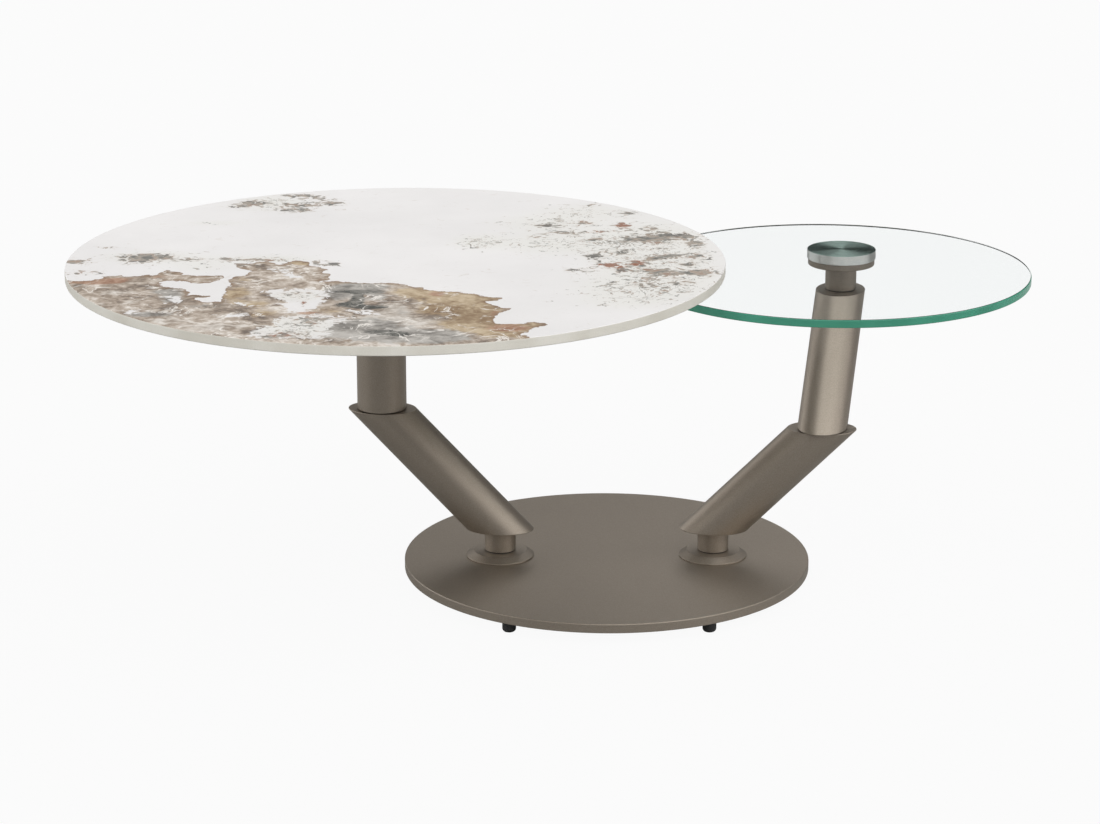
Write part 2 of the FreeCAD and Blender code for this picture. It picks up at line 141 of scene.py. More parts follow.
def round_corners(ovals, radii):
    """Rows of points along a section, with an arc of the given radius at each oval.

    At a corner P, with unit directions u back and v on along the section and h half the angle between
    them, an arc of radius r leaves the sides at P + u·t and P + v·t, where t = r / tan(h). Its middle is
    P + (u + v) / |u + v| · r / sin(h). A row a little past each end of the arc keeps flat faces flat.
    """
    rows = []
    for i, radius in enumerate(radii):
        corner = ovals[i]
        if radius == 0:
            rows.append(corner[None])
            continue
        back = unit(ovals[i - 1] - corner)
        on = unit(ovals[(i + 1) % len(ovals)] - corner)
        half = np.arccos(np.clip((back * on).sum(-1, keepdims=True), -1, 1)) / 2
        reach = radius / np.tan(half)
        middle = corner + unit(back + on) * radius / np.sin(half)
        turn = np.pi - 2 * half
        share = np.linspace(0, 1, ARC_STEPS + 1)[:, None, None]
        first = (corner + back * reach - middle) * np.sin((1 - share) * turn)
        last = (corner + on * reach - middle) * np.sin(share * turn)
        hold = reach * (1 + HOLD_SHARE)
        arc = middle + (first + last) / np.sin(turn)
        rows += [(corner + back * hold)[None], arc, (corner + on * hold)[None]]
    return np.concatenate(rows)


print("each rounded corner has", ARC_STEPS, "steps")

# %% Quads between the rows
SHARP_DEGREES = 35
WELD = 0.001 * MM


def lay_mesh(name, grids, closed):
    """A mesh of quads between neighbouring rows of each grid, facing outwards.

    Each row is a loop, so its last point joins its first. A closed section joins its last row to its
    first too, and an open one starts and ends in a row drawn in to one point, which is welded.
    """
    faces = []
    start = 0
    for rows in grids:
        index = start + np.arange(rows.shape[0] * rows.shape[1]).reshape(rows.shape[:2])
        low = index if closed else index[:-1]
        high = np.roll(index, -1, axis=0) if closed else index[1:]
        quads = np.stack([low, np.roll(low, -1, axis=1), np.roll(high, -1, axis=1), high], axis=-1)
        faces.append(quads.reshape(-1, 4))
        start += index.size
    points = np.concatenate([rows.reshape(-1, 3) for rows in grids])
    mesh = bpy.data.meshes.new(name)
    mesh.from_pydata(points.tolist(), [], np.concatenate(faces).tolist())
    if not closed:
        poles = bmesh.new()
        poles.from_mesh(mesh)
        bmesh.ops.remove_doubles(poles, verts=poles.verts, dist=WELD)
        poles.to_mesh(mesh)
        poles.free()
    mesh.polygons.foreach_set("use_smooth", np.ones(len(mesh.polygons), bool))
    mesh.set_sharp_from_angle(angle=math.radians(SHARP_DEGREES))
    return mesh


print("corners sharper than", SHARP_DEGREES, "degrees stay crisp")

# %% A finished piece on its body
def read(items, what, width=1, kind=float):
    """A whole array of one property of a mesh's vertices, loops or faces, one row for each."""
    values = np.empty(len(items) * width, kind)
    items.foreach_get(what, values)
    return values.reshape(-1, width)


def add_piece(mesh, finish, body, *nodes):
    """Show a mesh in place of CAD nodes, riding on their body."""
    piece = bpy.data.objects.new(mesh.name, mesh)
    scene.collection.objects.link(piece)
    mesh.materials.append(finish.material)
    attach(piece, body)
    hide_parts(*nodes)
    print(piece.name, "has", len(mesh.polygons), "faces and stands for", ", ".join(nodes))


def second_finish(mesh, finish, chosen):
    """Give the chosen faces of a piece another material."""
    mesh.materials.append(finish.material)
    mesh.polygons.foreach_set("material_index", chosen.astype(np.int32))
    print(mesh.name, "has", int(chosen.sum()), "faces of", finish.material.name)


# %% [markdown]
# ## Writing finishes
# A finish is a small tree of nodes. Three helpers keep the trees short: one turns a colour as it is
# written for screens into the linear light that a shader works with, one adds a node with its settings
# and links, and one sets the inputs of a node that is there already. Every pattern is read from Object
# coordinates, which are metres here, so a pattern's scale is one over the size of its features.

# %% Colours and nodes
TIMES = {"operation": "MULTIPLY"}
WEIGH = {"operation": "MULTIPLY_ADD"}
RGBA = {"data_type": "RGBA"}


def linear(code):
    """An sRGB hex colour as linear RGBA.

    A channel c becomes c / 12.92 up to 0.04045, and ((c + 0.055) / 1.055) to the power 2.4 above it.
    """
    srgb = np.array([int(code[i:i + 2], 16) for i in (1, 3, 5)]) / 255
    rgb = np.where(srgb <= 0.04045, srgb / 12.92, ((srgb + 0.055) / 1.055) ** 2.4)
    return (*rgb.tolist(), 1.0)


def per(size):
    """The texture scale that gives features of this many millimetres."""
    return 1 / (size * MM)


def feed(node, inputs):
    """Set inputs of a node. Each is known by its name or place, and takes a value, a socket or a node.

    Of a node with several inputs of one name, or several outputs, the first one in use is meant.
    """
    for name, value in inputs.items():
        socket = next(s for i, s in enumerate(node.inputs) if s.enabled and name in (i, s.name))
        if isinstance(value, bpy.types.Node):
            value = next(s for s in value.outputs if s.enabled)
        if isinstance(value, bpy.types.NodeSocket):
            node.id_data.links.new(value, socket)
        else:
            socket.default_value = value


def add(tree, kind, settings={}, inputs={}, stops=()):
    """Add a node with its settings, its inputs and the stops of its colour ramp."""
    node = tree.nodes.new("ShaderNode" + kind)
    for name, value in settings.items():
        setattr(node, name, value)
    feed(node, inputs)
    for i, (place, code) in enumerate(stops):
        ends = node.color_ramp.elements
        stop = ends[i] if i < len(ends) else ends.new(place)
        stop.position = place
        stop.color = linear(code)
    return node


print("#e6e5e3 is", [round(c, 3) for c in linear("#e6e5e3")], "as light")

# %% [markdown]
# ## Powder coat
# The steel is sprayed with a taupe powder that holds a little metal flake, and baked. That gives an even
# satin skin with a very fine orange peel, and reflections that keep the warm colour. A plain paint shader
# would be too chalky, so most of it is metallic.

# %% Satin taupe powder coat
Finish = namedtuple("Finish", "material slot")


def start_material(name):
    """A new material with its tree, its main shader and its Object coordinates."""
    material = bpy.data.materials.new(name)
    material.use_nodes = True
    tree = material.node_tree
    where = add(tree, "TexCoord").outputs["Object"]
    return material, tree, tree.nodes["Principled BSDF"], where


def finish_material(material, slot):
    """A finished material with the slot of the part that it belongs to."""
    print("made", material.name)
    return Finish(material, slot)


def make_powder_coat():
    """Satin metallic powder coat: flake of about 1 mm, orange peel of about 2 mm, an almost even sheen."""
    material, tree, shader, where = start_material("satin taupe powder coat")
    cloud = add(tree, "TexNoise", {}, {"Vector": where, "Scale": per(120)})
    flake = add(tree, "TexNoise", {}, {"Vector": where, "Scale": per(1.2)})
    blend = add(tree, "Math", WEIGH, {0: cloud, 1: 0.2, 2: flake})
    colour = add(tree, "ValToRGB", {}, {"Fac": blend}, [(0.35, "#90867a"), (0.85, "#a1978b")])
    rough = add(tree, "MapRange", {}, {"Value": cloud, "To Min": 0.43, "To Max": 0.49})
    peel = add(tree, "TexNoise", {}, {"Vector": where, "Scale": per(2.2), "Detail": 1.0})
    bump = add(tree, "Bump", {}, {"Height": peel, "Strength": 0.03, "Distance": 0.4 * MM})
    feed(shader, {"Base Color": colour, "Roughness": rough, "Metallic": 0.85, "Normal": bump})
    return finish_material(material, "taupe_powder_coat")


powder_coat = make_powder_coat()

# %% [markdown]
# ## Base disc
# The disc is flat plate cut to a circle, with its two edges broken to a small radius. Its section has
# two corners at the rim and ends on the axis at both sides. The bolts that hold the spindles lie flush
# in its underside, so the skin's underside is a hair higher there and the CAD bolts keep showing.

# %% Skin of the base disc
EDGE_BREAK = 1.2 * MM
FLUSH_GAP = 0.1 * MM


def straight(piece, bore=0):
    """Radius and level at the corners of a straight section: bore, rim, rim and bore."""
    rim = piece.radius
    return [(bore, piece.bottom), (rim, piece.bottom), (rim, piece.top), (bore, piece.top)]


def turned_solid(name, piece, edge):
    """A disc on a round piece's axis, with both rims rounded."""
    rows = round_corners(stack(piece, straight(piece)), [0, edge, edge, 0])
    return lay_mesh(name, [rows], closed=False)


raised = disc._replace(bottom=disc.bottom + FLUSH_GAP)
add_piece(turned_solid("base_disc", raised, EDGE_BREAK), powder_coat, "base", "base_plate")

# %% [markdown]
# ## Glide feet
# Six small rubber feet keep the disc clear of the floor. Each is a button with a well rounded lower
# rim and a recess for the head of its screw. They stand on one circle, 60 degrees apart: two of them
# lie on the X axis, so the box of the whole set gives both the circle and the foot.

# %% Black rubber
def make_rubber():
    """Moulded black rubber: matt, with a fine grain and a little dust in it."""
    material, tree, shader, where = start_material("moulded black rubber")
    grain = add(tree, "TexNoise", {}, {"Vector": where, "Scale": per(1.5), "Detail": 3.0})
    colour = add(tree, "ValToRGB", {}, {"Fac": grain}, [(0.35, "#141414"), (0.75, "#262625")])
    bump = add(tree, "Bump", {}, {"Height": grain, "Strength": 0.15, "Distance": 0.2 * MM})
    feed(shader, {"Base Color": colour, "Roughness": 0.6, "IOR": 1.52, "Normal": bump})
    return finish_material(material, "black_rubber")


rubber = make_rubber()

# %% Skin of the feet
FOOT_COUNT = 6
FOOT_TURN = 2 * math.pi / FOOT_COUNT
FOOT_ROUND = 4.6 * MM
FOOT_TOP_ROUND = FOOT_ROUND / 6
RECESS_RADIUS = 3.3 * MM
RECESS_DEPTH = 5.0 * MM
SCREW_HOLE = RECESS_RADIUS / 2
SMALL_AROUND = 48


def feet_rows():
    """One grid for each foot: recess, rim, top and screw hole of a button, set on the feet's circle."""
    low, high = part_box("glide_feet")
    circle = (high.x - high.y) / (1 - math.sin(FOOT_TURN))
    radius = high.x - circle
    ceiling = low.z + RECESS_DEPTH
    levels = [(RECESS_RADIUS, low.z), (radius, low.z), (radius, high.z), (SCREW_HOLE, high.z),
              (SCREW_HOLE, ceiling), (RECESS_RADIUS, ceiling)]
    for angle in np.arange(FOOT_COUNT) * FOOT_TURN:
        foot = Round(circle * math.cos(angle), circle * math.sin(angle), radius, low.z, high.z)
        yield round_corners(stack(foot, levels, SMALL_AROUND), [0, FOOT_ROUND, FOOT_TOP_ROUND, 0, 0, 0])


add_piece(lay_mesh("rubber_feet", list(feet_rows()), closed=True), rubber, "base", "glide_feet")

# %% [markdown]
# ## Collars and posts
# A conical collar hides each spindle's flange where an arm stands on the disc, and a short post turns
# on it. Both are rings, so their sections are closed: up the outside and down the bore. The thin black
# washer between them stays as the CAD made it and shows as a dark line.

# %% Skins of the collars and posts
COLLAR_RIM = 2.0 * MM
COLLAR_TOP_SHARE = 34.0 / 43.5
FLANGE_ROOM = 0.3 * MM
FLANGE_DEPTH = 5.1 * MM
BUSH_WALL = 3.5 * MM
SMALL_EDGE = 0.5 * MM
RING_AROUND = 96
shaft = measure("left_post_bush").radius - BUSH_WALL


def ring(name, piece, levels, radii):
    """A ring on a round piece's axis, from levels listed up the outside and down the bore."""
    return lay_mesh(name, [round_corners(stack(piece, levels, RING_AROUND), radii)], closed=True)


def sleeve(name, piece, bore):
    """A straight ring with its lower outer edge broken."""
    return ring(name, piece, straight(piece, bore), [0, SMALL_EDGE, 0, 0])


for side in ("left", "right"):
    collar = measure(f"{side}_base_collar")
    seat = measure(f"{side}_base_spindle").radius + FLANGE_ROOM
    bore = shaft + FLANGE_ROOM
    shoulder = collar.bottom + FLANGE_DEPTH
    levels = [(seat, collar.bottom), (collar.radius, collar.bottom),
              (collar.radius, collar.bottom + COLLAR_RIM), (collar.radius * COLLAR_TOP_SHARE, collar.top),
              (bore, collar.top), (bore, shoulder), (seat, shoulder)]
    cone = ring(f"{side}_collar_skin", collar, levels, [0, *[SMALL_EDGE] * 3, 0, 0, 0])
    add_piece(cone, powder_coat, "base", f"{side}_base_collar")
    hole = measure(f"{side}_post_bush").radius
    post = sleeve(f"{side}_post_skin", measure(f"{side}_post"), hole)
    add_piece(post, powder_coat, f"{side}_arm", f"{side}_post")

# %% [markdown]
# ## Slanted arms
# Each arm is a round tube cut level at both ends and closed by flat oval caps, welded and ground so that
# the coat runs over the joint. A level cut through a tube of radius r that leans at an angle s from the
# floor is an oval of half length r / sin(s) along the lean and half width r across it. The skin goes
# round the foot cap, up the outside, over the head cap, down the spindle's hole and back inside the wall.

# %% Skins of the arms
TUBE_WALL = 2.5 * MM
ARM_EDGE = 0.8 * MM
tube_bore = column.radius - TUBE_WALL


def arm(name, body, prefix, foot, head, foot_hole, head_hole):
    """A slanted tube between two upright axes: level ovals at the cuts, circles at the spindle holes."""
    foot_cap = measure(f"{prefix}_foot_cap")
    head_cap = measure(f"{prefix}_head_cap")
    rise = head_cap.top - foot_cap.bottom
    lean = np.array([head.x - foot.x, head.y - foot.y])
    azimuth = math.atan2(lean[1], lean[0])
    stretch = math.hypot(rise, *lean) / rise

    def cut(z, radius):
        share = (z - foot_cap.bottom) / rise
        x, y = np.array([foot.x, foot.y]) + lean * share
        return oval(x, y, z, radius * stretch, radius, azimuth)

    def hole(piece, z, radius):
        return oval(piece.x, piece.y, z, radius, azimuth=azimuth)

    section = [hole(foot, foot_cap.bottom, foot_hole), cut(foot_cap.bottom, column.radius),
               cut(head_cap.top, column.radius), hole(head, head_cap.top, head_hole),
               hole(head, head_cap.bottom, head_hole), cut(head_cap.bottom, tube_bore),
               cut(foot_cap.top, tube_bore), hole(foot, foot_cap.top, foot_hole)]
    rows = round_corners(section, [0, ARM_EDGE, ARM_EDGE, 0, 0, 0, 0, 0])
    print(name, "leans at", round(math.degrees(math.asin(1 / stretch))), "degrees")
    add_piece(lay_mesh(name, [rows], closed=True), powder_coat, body,
              f"{prefix}_tube", f"{prefix}_foot_cap", f"{prefix}_head_cap")


for side in ("left", "right"):
    elbow = measure(f"{side}_elbow_spindle")
    arm(f"{side}_lower_arm", f"{side}_arm", f"{side}_lower", measure(f"{side}_post"), elbow, shaft, shaft)
elbow = measure("right_elbow_spindle")
upper_hole = measure("upper_bush").radius
arm("leaning_upper_arm", "upper_arm", "upper", elbow, measure("neck_spindle"), upper_hole, shaft)

# %% [markdown]
# ## Column, plates, neck and flange
# The upright column is the same tube, cut square. A flange and a wide plate on it carry the stone, and a
# slim neck with a flange carries the glass. They are turned or cut from plate, with lightly broken edges.

# %% Skins of the upright steel
add_piece(sleeve("column_skin", column, tube_bore), powder_coat, "stone_column", "column_tube")
neck = sleeve("neck_skin", measure("glass_neck"), measure("neck_bush").radius)
add_piece(neck, powder_coat, "glass_table", "glass_neck")
for name, node, edge, body in (("column_flange_skin", "column_flange", SMALL_EDGE, "stone_column"),
                               ("mount_plate_skin", "stone_mount_plate", EDGE_BREAK, "stone_column"),
                               ("glass_flange_skin", "glass_flange", EDGE_BREAK, "glass_table")):
    add_piece(turned_solid(name, measure(node), edge), powder_coat, body, node)

# %% [markdown]
# ## Turned puck
# A bright steel puck is bonded under the glass. It was faced on a lathe, so its grooves run in circles
# and its highlight spreads across them into two wedges, like a bow tie. An anisotropic shader gives that
# if it knows the way across the grooves, so the puck gets a UV map whose U runs out from the axis. Its top
# face gets a darker, greener copy of the steel: painted shade, tinted with the green of the glass.

# %% Turned steel
GROOVE_STEP = 1.1


def make_turned_steel(name, deep, light):
    """Steel faced on a lathe: highlights stretched across circular grooves.

    The real grooves are about 0.1 mm apart, too fine to show, so they are drawn further apart.
    """
    material, tree, shader, where = start_material(name)
    grooves = add(tree, "UVMap", {"uv_map": "turning"})
    way = add(tree, "Tangent", {"direction_type": "UV_MAP", "uv_map": "turning"})
    across = add(tree, "SeparateXYZ", {}, {"Vector": grooves}).outputs["X"]
    phase = add(tree, "Math", TIMES, {0: across, 1: 2 * np.pi * per(GROOVE_STEP)})
    wave = add(tree, "Math", {"operation": "SINE"}, {0: phase})
    mottle = add(tree, "TexNoise", {}, {"Vector": where, "Scale": per(9), "Detail": 4.0})
    colour = add(tree, "ValToRGB", {}, {"Fac": mottle}, [(0.3, deep), (0.7, light)])
    rough = add(tree, "MapRange", {}, {"Value": mottle, "To Min": 0.46, "To Max": 0.54})
    bump = add(tree, "Bump", {}, {"Height": wave, "Strength": 0.05, "Distance": 0.05 * MM})
    feed(shader, {"Base Color": colour, "Roughness": rough, "Metallic": 1.0, "Anisotropic": 1.0,
                  "Normal": bump, "Tangent": way})
    return finish_material(material, "turned_steel")


bright_steel = make_turned_steel("lathe turned steel", "#e8eae6", "#f5f5f1")
# The top face: the same steel painted darker and greener, as painted shade tinted by the glass.
shaded_top_steel = make_turned_steel("turned steel in painted shade", "#a6bdb5", "#bcd1c9")

# %% Skin of the puck
PUCK_EDGE = 0.8 * MM
BOND_DEPTH = 0.1 * MM


def map_turning(mesh, piece):
    """U is the distance from the axis plus the depth, in metres, and V the angle round the axis in turns.

    A corner's angle is taken near that of its face's middle, so that no face spans the seam.
    """
    corners = read(mesh.loops, "vertex_index", kind=np.int32)[:, 0]
    offset = read(mesh.vertices, "co", 3)[corners] - [piece.x, piece.y, piece.top]
    sides = read(mesh.polygons, "loop_total", kind=np.int32)[:, 0]
    face = np.repeat(np.arange(len(sides)), sides)
    middle = np.stack([np.bincount(face, offset[:, k]) / sides for k in (0, 1)], axis=-1)[face]
    centre = np.arctan2(middle[:, 1], middle[:, 0])
    radius = np.hypot(offset[:, 0], offset[:, 1])
    turn = np.arctan2(offset[:, 1], offset[:, 0]) - centre
    turn = np.where(radius < WELD, 0, (turn + np.pi) % (2 * np.pi) - np.pi)
    u = radius - offset[:, 2]
    v = (centre + turn) / (2 * np.pi)
    layer = mesh.uv_layers.new(name="turning")
    layer.data.foreach_set("uv", np.stack([u, v], axis=-1).ravel())


puck = measure("glass_puck")
bonded = puck._replace(top=puck.top + BOND_DEPTH)
puck_mesh = turned_solid("puck_skin", bonded, PUCK_EDGE)
map_turning(puck_mesh, bonded)
add_piece(puck_mesh, bright_steel, "glass_table", "glass_puck")
heights = read(puck_mesh.polygons, "center", 3)[:, 2]
# The faces on top get the painted shade.
second_finish(puck_mesh, shaded_top_steel, heights > bonded.top - PUCK_EDGE / 2)

# %% [markdown]
# ## Glass top
# The glass is clear float glass with a polished edge. It looks colourless from above, where light crosses
# only its thickness, and green at the rim, where light has run through the whole width, thrown to and fro
# between the faces. A render stops following light after a few such turns and shows a black rim. So the
# rim gets a finish of its own, with that green in it and a little of the light that leaves there.

# %% Clear float glass
GLASS_IOR = 1.52
FILTER_SHARE = 0.85


def make_glass():
    """Clear float glass: hardly any colour through its thickness, and a faint wave from the float.

    Seen this low, both faces together mirror four tenths of the studio. A photographer turns most of
    that away with a polarising filter, and a share of refraction without any mirroring does the same.
    """
    material, tree, shader, where = start_material("clear float glass")
    wave = add(tree, "TexNoise", {}, {"Vector": where, "Scale": per(120), "Detail": 1.0})
    bump = add(tree, "Bump", {}, {"Height": wave, "Strength": 0.02, "Distance": 0.1 * MM})
    clear = {"Roughness": 0.0, "IOR": GLASS_IOR, "Normal": bump}
    feed(shader, {"Base Color": linear("#fafdfc"), "Transmission Weight": 1.0, **clear})
    through = add(tree, "BsdfRefraction", {}, {"Color": linear("#fdfefe"), **clear})
    filtered = add(tree, "MixShader", {}, {0: FILTER_SHARE, 1: shader, 2: through})
    feed(tree.nodes["Material Output"], {"Surface": filtered})
    return finish_material(material, "clear_glass")


clear_glass = make_glass()

# %% Polished glass edge
PAINTED_EDGE_GLOW = 0.2


def make_glass_edge():
    """Polished rim of float glass: green, a little see-through, with a faint painted glow of the light in
    it.

    From inside, through the top face, the far rim is painted as a thin dark grey line without the glow:
    painted shade.
    """
    material, tree, shader, where = start_material("polished glass edge, painted glow")
    band = add(tree, "TexNoise", {}, {"Vector": where, "Scale": per(60)})
    colour = add(tree, "ValToRGB", {}, {"Fac": band}, [(0.3, "#34876d"), (0.7, "#4aa588")])
    inside = add(tree, "NewGeometry").outputs["Backfacing"]
    # Seen from inside, the rim is painted dark grey: painted shade for the far rim's dark line.
    seen = add(tree, "Mix", RGBA, {"Factor": inside, "A": colour, "B": linear("#56615d")})
    # A painted glow: the rim gives off a little green light, on the outside only.
    glow = add(tree, "Math", WEIGH, {0: inside, 1: -PAINTED_EDGE_GLOW, 2: PAINTED_EDGE_GLOW})
    feed(shader, {"Base Color": seen, "Roughness": 0.12, "IOR": GLASS_IOR, "Transmission Weight": 0.4,
                  "Emission Color": linear("#4fae90"), "Emission Strength": glow})
    return finish_material(material, "clear_glass")


glass_rim = make_glass_edge()

# %% Skin of the glass top
GLASS_EDGE = 1.5 * MM
RIM_SLOPE = 0.85
glass_mesh = turned_solid("glass_disc", glass, GLASS_EDGE)
add_piece(glass_mesh, clear_glass, "glass_table", "glass_top")
slopes = np.abs(read(glass_mesh.polygons, "normal", 3)[:, 2])
second_finish(glass_mesh, glass_rim, slopes < RIM_SLOPE)

# %% [markdown]
# ## Stone top: where the marbling lies
# The top is sintered stone, pressed and fired with a printed marbling: a broad brown mass along the front
# left, white islands in it, and loose stains and specks towards the right and the back. Noise alone can't
# put a mass in one place, so the layout is worked out first and stored on the mesh. The mass and its
# islands are outlines, and each vertex keeps its depth inside them. The tones are soft spots that add up,
# each with its place, its reach along X and Y, and a weight. Lengths are percents of the top's radius.

# %% Depth and spots
def depth_inside(points, outline):
    """Distance from each point to the nearest side of a closed outline, negative outside it.

    On a side from a to b the nearest point is a + (b - a)·s, where s is (p - a)·(b - a) / |b - a|² kept
    from 0 to 1. A point is inside where a level ray from it crosses an odd number of sides.
    """
    step = np.roll(outline, -1, axis=0) - outline
    away = points[:, None] - outline
    share = np.clip((away * step).sum(-1) / (step ** 2).sum(-1), 0, 1)
    gap = np.linalg.norm(away - step * share[..., None], axis=-1).min(axis=1)
    over = outline[:, 1] > points[:, None, 1]
    crosses = over != np.roll(over, -1, axis=1)
    level = np.where(step[:, 1] == 0, 1, step[:, 1])
    meets = outline[:, 0] + away[..., 1] * step[:, 0] / level
    inside = (crosses & (points[:, None, 0] < meets)).sum(axis=1) % 2 == 1
    return np.where(inside, gap, -gap)


def soft_spots(points, spots):
    """The sum over all spots of weight · exp(-((x - x0) / rx)² - ((y - y0) / ry)²)."""
    x, y, rx, ry, weight = np.array(spots).T
    return (weight * np.exp(-((points[:, :1] - x) / rx) ** 2 - ((points[:, 1:] - y) / ry) ** 2)).sum(axis=1)


print("fields come from outlines and spots")

# %% Outlines of the mass and its islands
MASS_OUTLINE = [
    (-97, -26), (-94, -27), (-90, -26), (-87, -23.5), (-85, -21), (-78, -21), (-70, -20), (-70, -16.5),
    (-68, -14.5), (-65.5, -16.5), (-61, -20), (-55, -21.5), (-50, -20), (-50, -23.5), (-52.5, -26.5),
    (-54, -29.5), (-57, -30.5), (-59, -28.5), (-63, -27), (-68, -27.5), (-68.5, -32), (-67, -34.5),
    (-62, -34.5), (-60, -36), (-60, -39), (-58.5, -41), (-59.5, -44.5), (-56, -44), (-52.5, -44.5),
    (-51, -47), (-56.5, -47.5), (-55.5, -49), (-53, -51.5), (-49, -51), (-48.5, -48), (-49.5, -41),
    (-48.5, -35), (-47.5, -31), (-48, -28), (-47.5, -24), (-45.5, -20), (-43, -15.5), (-45, -13),
    (-49, -10), (-48, -6), (-45, -5.5), (-42, -3), (-39, -3), (-35, -7), (-33, -3.5), (-30, -2),
    (-27, -3.5), (-24.5, -8), (-21.5, -10), (-20.5, -14), (-21, -18), (-18.5, -17), (-18, -20),
    (-19.5, -24.5), (-21, -28), (-16, -28), (-12, -29.5), (-6, -29.5), (-2, -28.5), (3, -30.5), (6, -32.5),
    (10, -36.5), (15, -39), (20, -40), (25, -42), (28, -45.5), (31.5, -46.5), (34, -45), (33, -48),
    (31, -50.5), (28, -51.5), (29.5, -56), (32, -59), (35, -59.5), (33.5, -63), (31.5, -66), (31, -76.5),
    (37, -76.5), (41, -75.5), (45, -76), (45, -78.5), (42, -81), (40.5, -85), (39, -88.5), (41, -90),
    (40, -100), (20, -105), (0, -110), (-50, -100), (-90, -68), (-103, -42)]
ISLAND_OUTLINES = [
    [(-36.5, -40), (-34, -37.5), (-27, -36.5), (-23, -38), (-19, -39.5), (-18, -47.5), (-19.5, -55),
     (-20.5, -60), (-24, -63), (-28.5, -63.5), (-29.5, -58), (-30.5, -50), (-34.5, -45)],
    [(-28, -68), (-20, -66.5), (-11, -69), (-11.5, -73), (-14, -76), (-15.5, -82), (-15, -88), (-19, -92),
     (-30, -92), (-37, -89), (-36, -82), (-32, -78), (-31, -73)],
    [(-64.5, -45.5), (-60.5, -45.5), (-60, -52), (-62, -53.5), (-64.5, -51)],
    [(-10, -61), (-4, -62), (-2, -66), (-6, -67), (-10, -64)],
    [(-38, -12), (-34, -13.5), (-31, -17), (-28.5, -22.5), (-30, -23.5), (-35, -15)],
    [(-44, -53), (-40, -54), (-39, -56), (-43, -55)],
    [(-47, -66.5), (-40, -66), (-41, -68.5), (-46, -69)],
    [(-75, -61), (-72, -61.5), (-71, -64), (-73, -65.5)]]
print("the mass has", len(MASS_OUTLINE), "corners and", len(ISLAND_OUTLINES), "islands")

